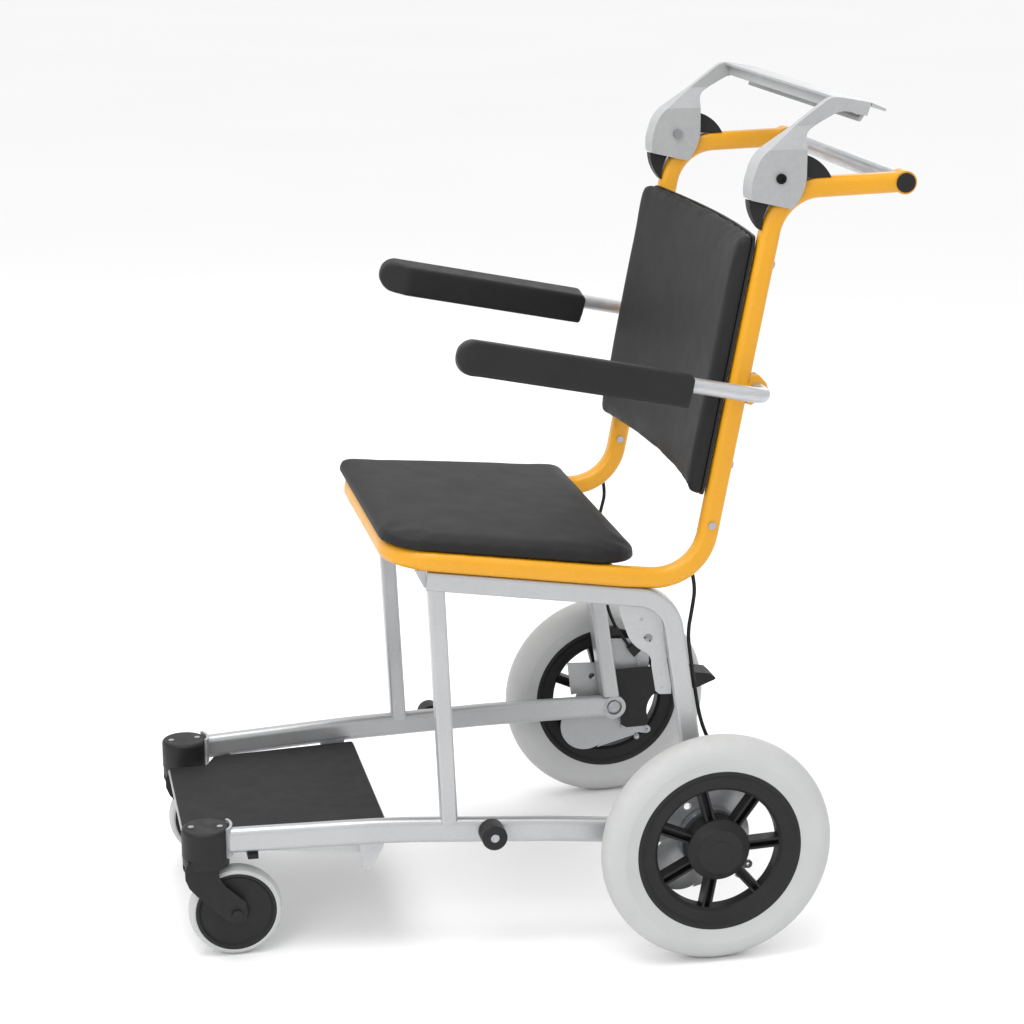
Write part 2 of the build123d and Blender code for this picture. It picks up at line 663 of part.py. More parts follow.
# ---------------------------------------------------------------- foot pedal, right side only
PEDAL_BORE = BOSS_R + RUNNING           # the pedal's jaw turns on the axle boss
with BuildPart() as foot_pedal:
    with BuildSketch(side(-265)):
        with BuildLine():
            f1 = Polyline((4, 211), (63, 212), (128, 205), (150, 202), (160, 193), (130, 181), (98, 180), (74, 176))
            f2 = ThreePointArc(f1 @ 1, (54, 150), (58, 127))
            f3 = Polyline(f2 @ 1, (52, 119), (22, 118.5), (14.5, 123), (14.5, 137))
            f4 = Line(f3 @ 1, (PEDAL_BORE * cos(radians(50)), WHEEL_R - PEDAL_BORE * sin(radians(50))))
            f5 = ThreePointArc(
                f4 @ 1,
                (PEDAL_BORE, WHEEL_R),
                (PEDAL_BORE * cos(radians(58)), WHEEL_R + PEDAL_BORE * sin(radians(58))),
            )
            Polyline(f5 @ 1, (7.5, 182), (4, 211))
        make_face()
    extrude(amount=8)
    with BuildSketch(side(-284)):
        with BuildLine():
            Polyline((112, 206.7), (128, 205), (150, 202), (160, 193), (130, 181), (112, 180.5), (112, 206.7))
        make_face()
    extrude(amount=42)
    fillet(foot_pedal.edges().filter_by(Axis.X).group_by(Axis.Y)[-1], 2)
write(foot_pedal.part, "foot_pedal")

# ---------------------------------------------------------------- castors
head_plane = Plane(origin=(CASTOR_X, AXLE_Y + CASTOR_Y, 0))
STEM_R = 8.0
with BuildPart() as castor_housing:
    with BuildSketch(head_plane.offset(CASTOR_HEAD_Z)):
        Circle(CASTOR_HEAD_R)
    extrude(amount=CASTOR_TOP_Z - CASTOR_HEAD_Z)
    fillet(castor_housing.faces().sort_by(Axis.Z)[-1].edges(), 5)
    with BuildSketch(head_plane.offset(CASTOR_HEAD_Z)):
        Circle(STEM_R + RUNNING)
    extrude(amount=31, mode=Mode.SUBTRACT)
    with BuildSketch(head_plane.offset(CASTOR_TOP_Z - 1.5)):
        with PolarLocations(19, 2, start_angle=83):
            Circle(4)
    extrude(amount=2, mode=Mode.SUBTRACT)
write_both(castor_housing.part, "castor_housings")

with BuildPart() as rail_collar:
    with BuildSketch(head_plane.offset(CASTOR_HEAD_Z + 0.3)):
        Circle(CASTOR_HEAD_R + 3.5)
        Circle(CASTOR_HEAD_R, mode=Mode.SUBTRACT)
    extrude(amount=41)
    with BuildSketch(head_plane.offset(CASTOR_HEAD_Z + 0.3)):
        with BuildLine():
            Polyline((0, 0), (-35, 60), (48, 60), (0, 0))
        make_face()
    extrude(amount=41, mode=Mode.INTERSECT)
    add(lower_rail.part, mode=Mode.SUBTRACT)
write_both(rail_collar.part.solids().sort_by(SortBy.VOLUME)[-1], "rail_collars")

wheel_y = CASTOR_Y + CASTOR_TRAIL
with BuildPart() as castor_fork:
    with BuildSketch(head_plane.offset(130.5)):
        Circle(30.5)
    extrude(amount=12)
    with BuildSketch(head_plane.offset(142)):
        Circle(STEM_R)
    extrude(amount=30)
    for x in (CASTOR_X + 16.5, CASTOR_X - 22.5):
        with BuildSketch(side(x)):
            with BuildLine():
                Polyline((-686, 142), (-690, 131), (-690, 117), (-685, 104.5), (-671, 88), (-634, 52.5),
                         (wheel_y, 50), (-609, 62), (-611, 79), (-637, 103), (-645, 116), (-646, 142), (-686, 142))
            make_face()
            with Locations((wheel_y, CASTOR_R)):
                Circle(13.5)
        extrude(amount=6)
    with BuildSketch(side(CASTOR_X - 16.5)):
        with Locations((wheel_y, CASTOR_R)):
            Circle(CASTOR_R + 3)
    extrude(amount=33, mode=Mode.SUBTRACT)
    with BuildSketch(side(CASTOR_X - 30)):
        with Locations((wheel_y, CASTOR_R)):
            Circle(4)
    extrude(amount=60, mode=Mode.SUBTRACT)
write_pair(castor_fork.part, "castor_fork")

castor_axis = Axis((0, AXLE_Y + wheel_y, CASTOR_R), (1, 0, 0))
castor_plane = Plane(origin=(CASTOR_X, AXLE_Y + wheel_y, CASTOR_R), x_dir=(1, 0, 0), z_dir=(0, -1, 0))
HALF = CASTOR_WIDTH / 2
with BuildPart() as castor_tyre:
    with BuildSketch(castor_plane):
        with BuildLine():
            c1 = Polyline((HALF - 1, 54), (HALF, 56), (HALF - 1.5, 59))
            c2 = ThreePointArc(c1 @ 1, (0, CASTOR_R), (1.5 - HALF, 59))
            Polyline(c2 @ 1, (-HALF, 56), (1 - HALF, 54), (HALF - 1, 54))
        make_face()
    revolve(axis=castor_axis)
write_pair(castor_tyre.part, "castor_tyre")

with BuildPart() as castor_wheel:
    with BuildSketch(castor_plane):
        with BuildLine():
            Polyline(
                (HALF - 1, 54), (HALF - 1, 50), (HALF - 4, 47), (HALF - 4, 18), (HALF, 15), (HALF, 4 + RUNNING),
                (-HALF, 4 + RUNNING), (-HALF, 15), (4 - HALF, 18), (4 - HALF, 47), (1 - HALF, 50), (1 - HALF, 54),
                close=True,
            )
        make_face()
    revolve(axis=castor_axis)
write_pair(castor_wheel.part, "castor_wheel")

with BuildPart() as castor_axle:
    for x, r, length in ((-23, 4, 46), (-26, 7, 3.5), (22.5, 7, 3.5)):
        with BuildSketch(side(CASTOR_X + x)):
            with Locations((wheel_y, CASTOR_R)):
                Circle(r)
        extrude(amount=length)
write_pair(castor_axle.part, "castor_axle")

# ---------------------------------------------------------------- footplate
PLATE_TOP = 150.5
NOSE_Y = -687.0                         # front edge, between the castor housings


def tray_outline(inset, rear):
    """Corners of the footplate, which narrows to pass between the castor housings."""
    half = [(133 - inset, NOSE_Y + inset), (133 - inset, -634 + 0.6 * inset), (168 - inset, -620 + inset),
            (190 - inset, rear)]
    return half + [(-x, y) for x, y in reversed(half)]


with BuildPart() as footplate:
    with BuildSketch(level(PLATE_TOP)):
        with BuildLine():
            FilletPolyline(*tray_outline(0, -411), radius=4, close=True)
        make_face()
    extrude(amount=-17)
    with BuildSketch(level(PLATE_TOP - 2.5)):
        with BuildLine():
            Polyline(*tray_outline(2.4, -400), close=True)
        make_face()
    extrude(amount=-20, mode=Mode.SUBTRACT)
    with BuildSketch(side(-300)):
        with BuildLine():
            Polyline((-700, 147), (-590, 147), (-588, 142.5), (-452, 134), (-430, 132.5), (-424, 146.5),
                     (-400, 146.5), (-400, 120), (-700, 120), (-700, 147))
        make_face()
    extrude(amount=600, mode=Mode.SUBTRACT)
    with BuildSketch(side(-200)):
        with Locations(FOOT_PIVOT):
            Circle(3.5 + RUNNING)
    extrude(amount=400, mode=Mode.SUBTRACT)
write(footplate.part, "footplate")

with BuildPart() as footplate_mat:
    with BuildSketch(level(PLATE_TOP)):
        with BuildLine():
            FilletPolyline(*tray_outline(2, -413), radius=4, close=True)
        make_face()
    extrude(amount=3)
write(footplate_mat.part, "footplate_mat")

with BuildPart() as footplate_bracket:
    with BuildSketch(side(192)):
        with BuildLine():
            Polyline((-461, 160), (-422, 160), (-426.5, 146), (-443, 112), (-450, 111.5), (-454, 117), (-461, 160))
        make_face()
    extrude(amount=3)
    add(lower_rail.part, mode=Mode.SUBTRACT)
    with BuildSketch(side(180)):
        with Locations(FOOT_PIVOT):
            Circle(3.5)
    extrude(amount=20, mode=Mode.SUBTRACT)
write_both(footplate_bracket.part.solids().sort_by(SortBy.VOLUME)[-1], "footplate_brackets")

with BuildPart() as footplate_stop:
    with BuildSketch(level(140)):
        with Locations((175.5, -600)):
            Rectangle(35, 14)
    extrude(amount=6.8)
    with BuildSketch(level(140)):
        with Locations((183.5, -600)):
            Rectangle(13, 14)
    extrude(amount=14)
    add(lower_rail.part, mode=Mode.SUBTRACT)
write_both(footplate_stop.part.solids().sort_by(SortBy.VOLUME)[-1], "footplate_stops")

with BuildPart() as footplate_pin:
    with BuildSketch(side(180.5)):
        with Locations(FOOT_PIVOT):
            Circle(3.5)
    extrude(amount=14.5)
    with BuildSketch(side(177.5)):
        with Locations(FOOT_PIVOT):
            Circle(6)
    extrude(amount=3)
write_both(footplate_pin.part, "footplate_pins")

# ---------------------------------------------------------------- bumpers and small hardware
with BuildPart() as bumper:
    with BuildSketch(side(228.5)):
        with Locations((-287, 168.5)):
            Circle(17)
    extrude(amount=30)
    fillet(bumper.faces().sort_by(Axis.X)[-1].edges(), 3)
    add(lower_rail.part, mode=Mode.SUBTRACT)
    with BuildSketch(side(254)):
        with Locations((-287, 168.5)):
            Circle(6)
    extrude(amount=5, mode=Mode.SUBTRACT)
write_both(bumper.part.solids().sort_by(SortBy.VOLUME)[-1], "bumpers")

BACK_SCREWS = [660.0, 920.0]
with BuildPart() as hardware:
    with BuildSketch(side(254)):
        with Locations((-287, 168.5)):
            Circle(5.9)
    extrude(amount=3.4)
    for x in (UPRIGHT_X + TUBE / 2, UPRIGHT_X - TUBE / 2 - 2.2):
        with BuildSketch(side(x)):
            with Locations((0.4, 580.8)):
                Circle(5)
        extrude(amount=2.2)
    with BuildSketch(head_plane.offset(CASTOR_TOP_Z - 1.5)):
        with PolarLocations(19, 2, start_angle=83):
            Circle(4)
    extrude(amount=2.1)
    for z in BACK_SCREWS:
        y = 38.2 + tan(BACK_LEAN) * (z - 783.2)
        rear_face = Plane(
            origin=(UPRIGHT_X, AXLE_Y + y + TUBE / 2 * cos(BACK_LEAN), z - TUBE / 2 * sin(BACK_LEAN)),
            x_dir=(1, 0, 0), z_dir=(0, cos(BACK_LEAN), -sin(BACK_LEAN)),
        )
        with BuildSketch(rear_face):
            Circle(4.5)
        extrude(amount=2.2)
    with BuildSketch(leg_plane.offset(-10.6)):
        with Locations((-62.5, 378), (-60.8, 358.5)):
            Circle(4)
    extrude(amount=1.6)
    with BuildSketch(leg_plane.offset(-9)):
        with Locations((-62.5, 378), (-60.8, 358.5)):
            Circle(2.5)
    extrude(amount=3)
write_both(hardware.part, "frame_screws")
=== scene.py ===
from math import cos, radians, sin

import bmesh
import bpy
from mathutils import Matrix, Vector


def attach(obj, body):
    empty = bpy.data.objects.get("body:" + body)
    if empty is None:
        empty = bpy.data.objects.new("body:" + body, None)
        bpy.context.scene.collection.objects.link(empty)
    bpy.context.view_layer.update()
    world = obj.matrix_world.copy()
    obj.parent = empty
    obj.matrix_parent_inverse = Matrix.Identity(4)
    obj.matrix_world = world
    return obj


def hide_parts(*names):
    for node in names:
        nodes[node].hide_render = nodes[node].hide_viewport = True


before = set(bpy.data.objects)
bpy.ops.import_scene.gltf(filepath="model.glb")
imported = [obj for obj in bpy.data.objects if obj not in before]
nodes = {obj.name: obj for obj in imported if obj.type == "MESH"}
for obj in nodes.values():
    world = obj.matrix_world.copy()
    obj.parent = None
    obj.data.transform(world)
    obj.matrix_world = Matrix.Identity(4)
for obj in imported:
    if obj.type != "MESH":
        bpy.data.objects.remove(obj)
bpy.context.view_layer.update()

scene = bpy.context.scene
scene.view_settings.view_transform = "Standard"     # the photo's plain studio colours

AXLE_Y = 0.215                      # rear axle, behind the middle of the overall length
WHEEL_R, WHEEL_X = 0.156, 0.3125    # rear wheel radius, and its middle plane
BACK_LEAN = radians(10.58)
SEAT_SLOPE = radians(6.0)
ARM_SLOPE, ARM_ROLL = radians(11.14), radians(7.0)
BACK_HALF, BACK_SAG = 0.250, 0.020  # half width of the back board, and how far it curves
CUSHION_VOXEL, PAD_VOXEL = 0.004, 0.003
HELD_WITHIN = 0.004                 # cushion points this near their support don't move
PIN_SHADE_FROM_X = 0.2645              # pivot pins get near-black painted shade further out than this, for the shade in their outer sockets


# ---------------------------------------------------------------- camera
LENS_MM = 89.54
CAMERA_PLACE = (3.3251, -0.6857, 1.4607)
CAMERA_LOOK = (-0.945, 0.196, -0.261)


def make_camera():
    """The photograph's viewing angle: 78 degrees round from the front, 15 above the floor."""
    data = bpy.data.cameras.new("camera")
    data.lens, data.sensor_width, data.clip_end = LENS_MM, 36.0, 200.0
    camera = bpy.data.objects.new("camera", data)
    scene.collection.objects.link(camera)
    look = Vector(CAMERA_LOOK).normalized()
    right = look.cross(Vector((0, 0, 1))).normalized()
    up = right.cross(look)
    turn = Matrix((right, up, -look)).transposed().to_4x4()
    camera.matrix_world = Matrix.Translation(CAMERA_PLACE) @ turn
    scene.camera = camera


make_camera()


# ---------------------------------------------------------------- brake cables
# The same route as the CAD cable's, in metres, distance behind the axle second.
CABLE_ROUTE = [
    (0.2455, -0.024, 0.524), (0.2475, -0.017, 0.499), (0.253, -0.0225, 0.469),
    (0.2576, -0.0295, 0.437), (0.2582, -0.0248, 0.402), (0.2586, -0.0182, 0.358),
    (0.2594, -0.0108, 0.316), (0.262, 0.003, 0.281), (0.2655, 0.022, 0.254),
    (0.2675, 0.033, 0.238),
]
WIRE_ROUTE = [(0.2668, 0.040, 0.232), (0.2668, 0.0482, 0.168), (0.2668, 0.0565, 0.104)]


def curve_piece(name, points, radius):
    """A round curve; its radius is on its points, so that its bounding box is as thin as it is."""
    data = bpy.data.curves.new(name, "CURVE")
    data.dimensions = "3D"
    data.bevel_depth, data.bevel_resolution, data.resolution_u = 1.0, 4, 12
    data.use_fill_caps = True
    spline = data.splines.new("NURBS")
    spline.points.add(len(points) - 1)
    for point, place in zip(spline.points, points):
        point.co, point.radius = (*place, 1), radius
    spline.order_u = 3
    spline.use_endpoint_u = True
    piece = bpy.data.objects.new(name, data)
    scene.collection.objects.link(piece)
    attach(piece, "frame")
    return piece


cables = []
for side, sign in (("left", 1), ("right", -1)):
    route, wire_route = ([(sign * x, AXLE_Y + y, z) for x, y, z in points]
                         for points in (CABLE_ROUTE, WIRE_ROUTE))
    cable = curve_piece(f"brake_cable_{side}", route, 0.0025)
    wire = curve_piece(f"brake_wire_{side}", wire_route, 0.0008)
    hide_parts("brake_cables")
    cables.append((cable, wire))


# ---------------------------------------------------------------- materials
def linear(*srgb):
    """Linear RGBA of an sRGB colour given from 0 to 255."""
    return tuple((c / 255 / 12.92) if c < 11 else ((c / 255 + 0.055) / 1.055) ** 2.4
                 for c in srgb) + (1.0,)


class Nodes:
    """Small helper that adds and joins the nodes of one material."""

    def __init__(self, name):
        self.material = bpy.data.materials.new(name)
        self.material.use_nodes = True
        self.tree = self.material.node_tree
        self.shader = self.tree.nodes["Principled BSDF"]
        self.place = self.add("ShaderNodeTexCoord").outputs["Object"]

    def add(self, kind, inputs=None, **settings):
        node = self.tree.nodes.new(kind)
        for key, value in settings.items():
            setattr(node, key, value)
        for key, value in (inputs or {}).items():
            if isinstance(value, bpy.types.NodeSocket):
                self.tree.links.new(value, node.inputs[key])
            else:
                node.inputs[key].default_value = value
        return node

    def math(self, operation, a, b=0.0):
        return self.add("ShaderNodeMath", {0: a, 1: b}, operation=operation).outputs[0]

    def noise(self, scale, detail=3.0, stretch=None, rough=0.5):
        place = self.place
        if stretch:
            place = self.add("ShaderNodeMapping", {"Vector": place, "Scale": stretch}).outputs[0]
        return self.add("ShaderNodeTexNoise", {"Vector": place, "Scale": scale, "Detail": detail,
                                               "Roughness": rough}).outputs["Fac"]

    def spread(self, value, low, high, start=0.3, end=0.7):
        return self.add("ShaderNodeMapRange", {"Value": value, "From Min": start, "From Max": end,
                                               "To Min": low, "To Max": high}).outputs[0]

    def mix(self, fac, a, b, blend="MIX"):
        node = self.add("ShaderNodeMix", data_type="RGBA", blend_type=blend)
        for index, value in ((0, fac), (6, a), (7, b)):
            if isinstance(value, bpy.types.NodeSocket):
                self.tree.links.new(value, node.inputs[index])
            else:
                node.inputs[index].default_value = value
        return node.outputs[2]

    def set(self, key, value):
        if isinstance(value, bpy.types.NodeSocket):
            self.tree.links.new(value, self.shader.inputs[key])
        else:
            self.shader.inputs[key].default_value = value

    def bump(self, height, distance, strength=1.0):
        normal = self.add("ShaderNodeBump", {"Height": height, "Distance": distance,
                                             "Strength": strength}).outputs[0]
        self.set("Normal", normal)

    def edges(self, start=0.55, end=0.68):
        """From 0 on flat surfaces to 1 on sharp convex edges."""
        point = self.add("ShaderNodeNewGeometry").outputs["Pointiness"]
        return self.spread(point, 0.0, 1.0, start, end)


def coloured(n, base, second, cloud=9.0, speck=260.0, worn=None, worn_share=0.16):
    """Base colour with broad clouding, fine specks, and lighter wear on the edges."""
    colour = n.mix(n.spread(n.noise(cloud, 4.0), 0.0, 1.0), base, second)
    shade = n.spread(n.noise(speck, 2.0), 0.97, 1.02)
    grey = n.add("ShaderNodeCombineColor", {0: shade, 1: shade, 2: shade}).outputs[0]
    colour = n.mix(1.0, colour, grey, "MULTIPLY")
    if worn:
        patches = n.spread(n.noise(120.0, 5.0), 0.0, worn_share, 0.42, 0.66)
        wear = n.math("MULTIPLY", n.edges(), patches)
        colour = n.mix(wear, colour, worn)
    n.set("Base Color", colour)


def powder_coat(name, base, second, worn, rough=(0.30, 0.44), metal=0.0, coat=0.25):
    """Powder coat: orange-peel bump, cloudy gloss, bare metal showing through on edges."""
    n = Nodes(name)
    coloured(n, base, second, worn=worn)
    n.set("Metallic", metal)
    n.set("Roughness", n.spread(n.noise(38.0, 5.0), *rough))
    n.set("Coat Weight", coat)
    n.set("Coat Roughness", 0.25)
    peel = n.math("ADD", n.noise(520.0, 2.0), n.math("MULTIPLY", n.noise(1500.0, 2.0), 0.35))
    n.bump(peel, 0.00035, 0.35)
    return n.material


def moulded(name, base, second, rough=(0.42, 0.58), grain=1400.0, depth=0.00022, worn=None):
    """Moulded plastic or rubber: fine spark-eroded grain and scuffed, lighter edges."""
    n = Nodes(name)
    coloured(n, base, second, cloud=14.0, worn=worn)
    n.set("Roughness", n.spread(n.noise(55.0, 5.0), *rough))
    n.set("Specular IOR Level", 0.26)
    coarse = n.math("MULTIPLY", n.noise(grain * 0.22, 2.0), 0.5)
    texture = n.math("ADD", n.noise(grain, 3.0), coarse)
    n.bump(texture, depth, 0.5)
    return n.material


def brushed(name, base, second, stretch, rough=(0.30, 0.44), depth=0.00008, painted_shade_from=None):
    """Metal with fine drawing lines along the stretched direction; near-black painted shade from an
    x outwards, standing in for a shaded socket.
    """
    n = Nodes(name)
    lines = n.noise(1.0, 4.0, stretch)
    colour = n.mix(n.spread(lines, 0.0, 1.0), base, second)
    if painted_shade_from:
        x = n.add("ShaderNodeSeparateXYZ", {0: n.place}).outputs[0]
        painted_shade_mask = n.math("GREATER_THAN", n.math("ABSOLUTE", x), painted_shade_from)
        # painted shade: beyond this x the colour turns near-black, standing in for the shade in the
        # outer sockets
        colour = n.mix(painted_shade_mask, colour, linear(24, 24, 25))
    n.set("Base Color", colour)
    n.set("Metallic", 0.75)
    n.set("Roughness", n.math("ADD", n.spread(n.noise(45.0, 4.0), *rough),
                              n.spread(lines, -0.03, 0.04)))
    n.bump(lines, depth, 0.22)
    return n.material


def leathercloth(name, base, second, cell=420.0):
    """Coated upholstery fabric: pebbled grain and faint creases."""
    n = Nodes(name)
    warp = n.add("ShaderNodeVectorMath", {0: n.place}, operation="ADD")
    soft = n.add("ShaderNodeTexNoise", {"Vector": n.place, "Scale": 90.0, "Detail": 2.0})
    small = n.add("ShaderNodeVectorMath", {0: soft.outputs["Color"], "Scale": 0.004},
                  operation="SCALE")
    n.tree.links.new(small.outputs[0], warp.inputs[1])
    cells = n.add("ShaderNodeTexVoronoi", {"Vector": warp.outputs[0], "Scale": cell},
                  feature="DISTANCE_TO_EDGE").outputs["Distance"]
    pebble = n.spread(cells, 0.0, 1.0, 0.0, 0.22)
    colour = n.mix(pebble, tuple(c * 0.72 for c in base[:3]) + (1.0,), base)
    colour = n.mix(n.spread(n.noise(6.0, 4.0), 0.0, 1.0), colour, second)
    n.set("Base Color", colour)
    n.set("Roughness", n.math("SUBTRACT", n.spread(n.noise(24.0, 5.0), 0.56, 0.62),
                              n.math("MULTIPLY", pebble, 0.06)))
    n.set("Specular IOR Level", 0.18)
    creases = n.noise(26.0, 5.0, rough=0.62)
    relief = n.math("ADD", n.math("MULTIPLY", pebble, 0.30), n.math("MULTIPLY", creases, 0.35))
    n.bump(relief, 0.0008, 0.28)
    return n.material


def tyre_rubber(name, base, second, axis_x, axis_y, axis_z, middle_radius):
    """Light grey solid rubber: mould rings round the axis, dust towards the tread."""
    n = Nodes(name)
    parts = n.add("ShaderNodeSeparateXYZ", {0: n.place}).outputs
    across = n.math("SUBTRACT", n.math("ABSOLUTE", parts[0]), axis_x)
    dy, dz = n.math("SUBTRACT", parts[1], axis_y), n.math("SUBTRACT", parts[2], axis_z)
    radius = n.math("SQRT", n.math("ADD", n.math("MULTIPLY", dy, dy), n.math("MULTIPLY", dz, dz)))
    tread = n.spread(radius, 0.0, 1.0, middle_radius, middle_radius * 1.14)
    colour = n.mix(n.spread(n.noise(12.0, 4.0), 0.0, 1.0), base, second)
    dust = n.math("MULTIPLY", tread, n.spread(n.noise(70.0, 5.0), 0.05, 0.42))
    colour = n.mix(dust, colour, linear(168, 167, 164))
    n.set("Base Color", colour)
    n.set("Roughness", n.spread(n.noise(40.0, 4.0), 0.50, 0.66))
    rings = n.math("SINE", n.math("MULTIPLY", radius, 3300.0))
    ribs = n.math("SINE", n.math("MULTIPLY", across, 2100.0))
    ribs = n.math("MULTIPLY", ribs, n.math("MULTIPLY", tread, 0.5))
    relief = n.math("ADD", n.math("MULTIPLY", rings, 0.10), ribs)
    relief = n.math("ADD", relief, n.math("MULTIPLY", n.noise(900.0, 3.0), 0.5))
    n.bump(relief, 0.00030, 0.45)
    return n.material


def mat_rubber(name, base, second):
    """Non-slip mat: small raised pips in staggered rows."""
    n = Nodes(name)
    pips = n.add("ShaderNodeTexVoronoi", {"Vector": n.place, "Scale": 330.0, "Randomness": 0.25},
                 feature="F1").outputs["Distance"]
    height = n.spread(pips, 1.0, 0.0, 0.12, 0.42)
    colour = n.mix(n.spread(n.noise(10.0, 4.0), 0.0, 1.0), base, second)
    colour = n.mix(n.math("MULTIPLY", height, 0.06), colour, linear(62, 62, 63))
    n.set("Base Color", colour)
    n.set("Roughness", n.spread(n.noise(48.0, 5.0), 0.60, 0.68))
    n.set("Specular IOR Level", 0.2)
    n.bump(n.math("ADD", height, n.math("MULTIPLY", n.noise(1200.0), 0.25)), 0.0003, 0.35)
    return n.material


YELLOW = powder_coat("yellow_powder_coat", linear(217, 153, 0), linear(213, 149, 0),
                     linear(220, 180, 90), coat=0.12)
GREY = powder_coat("grey_powder_coat", linear(176, 177, 178), linear(171, 172, 174),
                   linear(205, 205, 205), rough=(0.30, 0.40), metal=0.55)
BAR_GREY = powder_coat("bar_powder_coat", linear(164, 165, 166), linear(159, 160, 161),
                       linear(190, 190, 190), rough=(0.40, 0.52), metal=0.2)
TRAY = powder_coat("tray_powder_coat", linear(180, 181, 182), linear(174, 175, 176),
                   linear(205, 205, 205), rough=(0.34, 0.46), metal=0.4)
PLATE = powder_coat("brake_plate_coat", linear(170, 171, 172), linear(163, 164, 166),
                    linear(198, 198, 198), rough=(0.34, 0.48), metal=0.45)
BLACK = moulded("black_plastic", linear(27, 27, 28), linear(31, 31, 32), worn=linear(58, 58, 59))
RUBBER = moulded("black_rubber", linear(22, 22, 23), linear(27, 27, 28), rough=(0.55, 0.72),
                 grain=900.0, worn=linear(50, 50, 50))
ARM_FOAM = moulded("arm_pad_skin", linear(29, 29, 30), linear(33, 33, 34), rough=(0.48, 0.60),
                   grain=1000.0, depth=0.0003)
CLOTH = leathercloth("upholstery", linear(33, 33, 34), linear(35, 35, 36))
STEEL_X = brushed("satin_steel_across", linear(196, 197, 199), linear(178, 180, 183),
                  (25, 900, 900))
STEEL_Y = brushed("satin_steel_along", linear(196, 197, 199), linear(178, 180, 183),
                  (900, 30, 900))
# pivot pins: near-black painted shade on their outer heads, where the sockets lie in shade
PIN = brushed("pivot_pin", linear(150, 151, 153), linear(138, 139, 142), (420, 420, 420),
              rough=(0.30, 0.46), painted_shade_from=PIN_SHADE_FROM_X)
ZINC = brushed("zinc_steel", linear(178, 180, 184), linear(158, 160, 165), (420, 420, 420),
               rough=(0.28, 0.46))
REAR_TYRE = tyre_rubber("grey_tyre", linear(184, 185, 185), linear(179, 180, 180),
                        WHEEL_X, AXLE_Y, WHEEL_R, 0.138)
CASTOR_TYRE = moulded("grey_castor_tyre", linear(186, 187, 187), linear(180, 181, 181),
                      rough=(0.48, 0.62), grain=800.0, worn=linear(170, 169, 166))
MAT = mat_rubber("footplate_mat", linear(33, 33, 34), linear(35, 35, 36))

BY_SLOT = {
    "frame_yellow": YELLOW, "frame_grey": GREY, "satin_steel": STEEL_Y, "bar_grey": BAR_GREY,
    "black_plastic": BLACK, "upholstery": CLOTH, "arm_pad": ARM_FOAM, "grey_tyre": REAR_TYRE,
    "zinc_steel": ZINC, "brake_plate_grey": PLATE, "tray_grey": TRAY, "black_rubber": RUBBER,
}
BY_NODE = {
    "push_bar": STEEL_X, "seat_cross_tube": GREY, "footplate_mat": MAT,
    "castor_tyre_left": CASTOR_TYRE, "castor_tyre_right": CASTOR_TYRE,
    "castor_axle_left": BLACK, "castor_axle_right": BLACK, "brake_bar_pins": PIN,
}


def paint(piece, material):
    piece.data.materials.clear()
    piece.data.materials.append(material)


def slot_of(node):
    """The slot of a CAD node, from the name of the material that it came with."""
    return next(s for s in BY_SLOT if node.data.materials[0].name.startswith(s))


for name, node in nodes.items():
    material = BY_NODE.get(name) or BY_SLOT[slot_of(node)]
    for index in range(len(node.data.materials)):
        node.data.materials[index] = material
for cable, wire in cables:
    paint(cable, RUBBER)
    paint(wire, ZINC)


# ---------------------------------------------------------------- padded pieces
def settled(obj):
    """The mesh that an object's modifiers make, in place of its own."""
    bpy.context.view_layer.update()
    done = bpy.data.meshes.new_from_object(obj.evaluated_get(bpy.context.evaluated_depsgraph_get()))
    obj.modifiers.clear()
    obj.data = done


def soften(piece, held, iterations):
    """Rounds the piece's edges, apart from the points for which held() is true."""
    free = piece.vertex_groups.new(name="free")
    free.add([v.index for v in piece.data.vertices if not held(v.co)], 1.0, "REPLACE")
    smooth = piece.modifiers.new("soften", "SMOOTH")
    smooth.factor, smooth.iterations, smooth.vertex_group = 0.5, iterations, "free"
    settled(piece)
    piece.vertex_groups.clear()


def remeshed(node, name, voxel, slope, roll=0.0):
    """A copy of a CAD solid as an even, closed mesh, remeshed level."""
    level = Matrix.Rotation(roll, 4, "Y") @ Matrix.Rotation(slope, 4, "X")
    piece = bpy.data.objects.new(name, nodes[node].data.copy())
    scene.collection.objects.link(piece)
    piece.data.transform(level)
    remesh = piece.modifiers.new("remesh", "REMESH")
    remesh.mode, remesh.voxel_size, remesh.use_smooth_shade = "VOXEL", voxel, True
    settled(piece)
    piece.data.transform(level.inverted())
    return piece


def inflate(piece, held, cap, pressure=4.0):
    """Cloth under pressure: held() points stay, and no other moves further than cap."""
    rest = [v.co.copy() for v in piece.data.vertices]
    pins = piece.vertex_groups.new(name="held")
    pins.add([i for i, place in enumerate(rest) if held(place)], 1.0, "REPLACE")
    cloth = piece.modifiers.new("cloth", "CLOTH")
    cloth.settings.vertex_group_mass = "held"
    cloth.settings.use_pressure = True
    cloth.settings.uniform_pressure_force = pressure
    cloth.settings.effector_weights.gravity = 0.0
    cloth.settings.quality = 5
    cloth.point_cache.frame_start, cloth.point_cache.frame_end = 1, 20
    for number in range(1, 21):
        scene.frame_set(number)
    settled(piece)
    for vertex, place in zip(piece.data.vertices, rest):
        move = vertex.co - place
        vertex.co = place + move * (cap / (cap ** 2 + move.length_squared) ** 0.5)
    scene.frame_set(1)


def finished(piece, node, body, material):
    """Makes the piece fine and smooth, and puts it in its CAD node's place."""
    fine = piece.modifiers.new("fine", "SUBSURF")
    fine.levels = fine.render_levels = 1
    settled(piece)
    piece.vertex_groups.clear()
    for polygon in piece.data.polygons:
        polygon.use_smooth = True
    paint(piece, material)
    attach(piece, body)
    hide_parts(node)


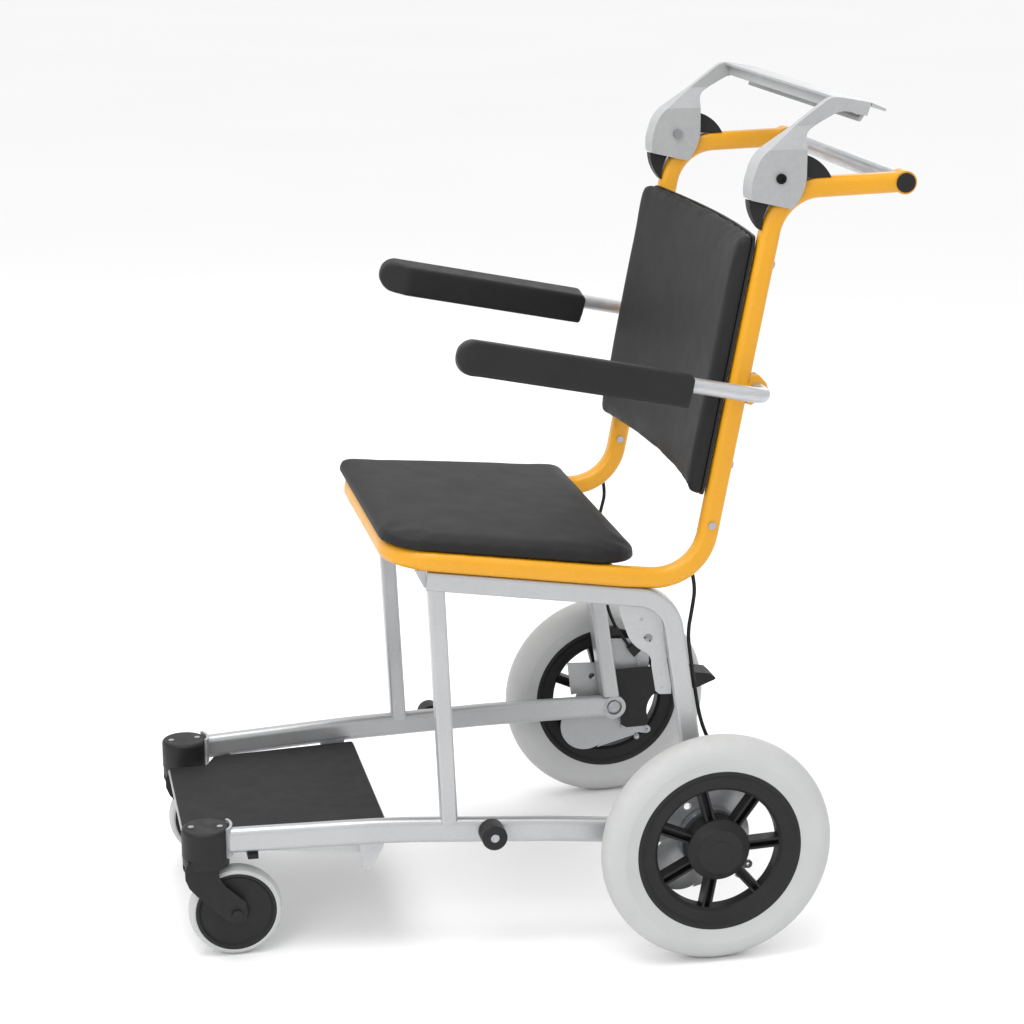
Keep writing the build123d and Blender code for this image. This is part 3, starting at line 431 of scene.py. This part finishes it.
# A point on the seat cushion's lower face, and one on the back posts' middle plane.
seat_up = Vector((0, sin(SEAT_SLOPE), cos(SEAT_SLOPE)))
seat_base = Vector((0, AXLE_Y - 0.240, 0.5288)) + seat_up * 0.0133
back_front = Vector((0, -cos(BACK_LEAN), sin(BACK_LEAN)))
back_middle = Vector((0, AXLE_Y + 0.0382, 0.7832))


def on_seat_base(p):
    """Points by the lower face, which rests on the seat tubes and board."""
    return (p - seat_base).dot(seat_up) < HELD_WITHIN


def on_back_board(p):
    """Points by the rear face, which lies on the curved board."""
    depth = -(p - back_middle).dot(back_front)
    board = -0.0206 + BACK_SAG * (1 - (p.x / BACK_HALF) ** 2)
    return depth > board - HELD_WITHIN


def nowhere(p):
    """For a piece that has no resting face."""
    return False


for node, name, slope, held, cap, fill in (
    ("seat_cushion", "seat_pad", SEAT_SLOPE, on_seat_base, 0.0025, 0.8),
    ("back_cushion", "back_pad", BACK_LEAN, on_back_board, 0.004, 0.75),
):
    cushion = remeshed(node, name, CUSHION_VOXEL, slope)
    soften(cushion, held, 6)
    inflate(cushion, held, cap)
    soften(cushion, held, 10)
    finished(cushion, node, "frame", CLOTH)

for side, sign in (("left", 1), ("right", -1)):
    pad = remeshed(f"armrest_pad_{side}", f"arm_pad_{side}", PAD_VOXEL, ARM_SLOPE, sign * ARM_ROLL)
    soften(pad, nowhere, 7)
    finished(pad, f"armrest_pad_{side}", f"armrest_{side}", ARM_FOAM)


# ---------------------------------------------------------------- floor and light
def make_stage():
    mesh = bpy.data.meshes.new("floor")
    shape = bmesh.new()
    bmesh.ops.create_grid(shape, x_segments=8, y_segments=8, size=45.0)
    shape.to_mesh(mesh)
    shape.free()
    floor = bpy.data.objects.new("floor", mesh)
    scene.collection.objects.link(floor)
    n = Nodes("pale_floor")
    n.set("Base Color", n.mix(n.noise(0.7, 3.0), linear(250, 250, 250), linear(246, 246, 247)))
    n.set("Roughness", n.spread(n.noise(3.0, 3.0), 0.75, 0.85))
    n.set("Specular IOR Level", 0.15)
    floor.data.materials.append(n.material)

    world = bpy.data.worlds.new("studio")
    scene.world = world
    world.use_nodes = True
    background = world.node_tree.nodes["Background"]
    background.inputs["Color"].default_value = (1.0, 1.0, 1.0, 1.0)
    background.inputs["Strength"].default_value = 1.0


def softbox(name, place, target, size, power):
    data = bpy.data.lights.new(name, "AREA")
    data.shape, data.size, data.size_y, data.energy = "RECTANGLE", size[0], size[1], power
    lamp = bpy.data.objects.new(name, data)
    scene.collection.objects.link(lamp)
    lamp.location = place
    lamp.rotation_euler = (Vector(target) - Vector(place)).to_track_quat("-Z", "Y").to_euler()


make_stage()
softbox("overhead", (0.3, -0.6, 3.2), (0, 0, 0.4), (2.2, 2.2), 62)
softbox("key", (3.0, -2.4, 2.4), (0, 0, 0.5), (1.8, 1.8), 26)
softbox("rim", (-2.6, 2.2, 2.2), (0, 0, 0.5), (1.6, 1.6), 16)
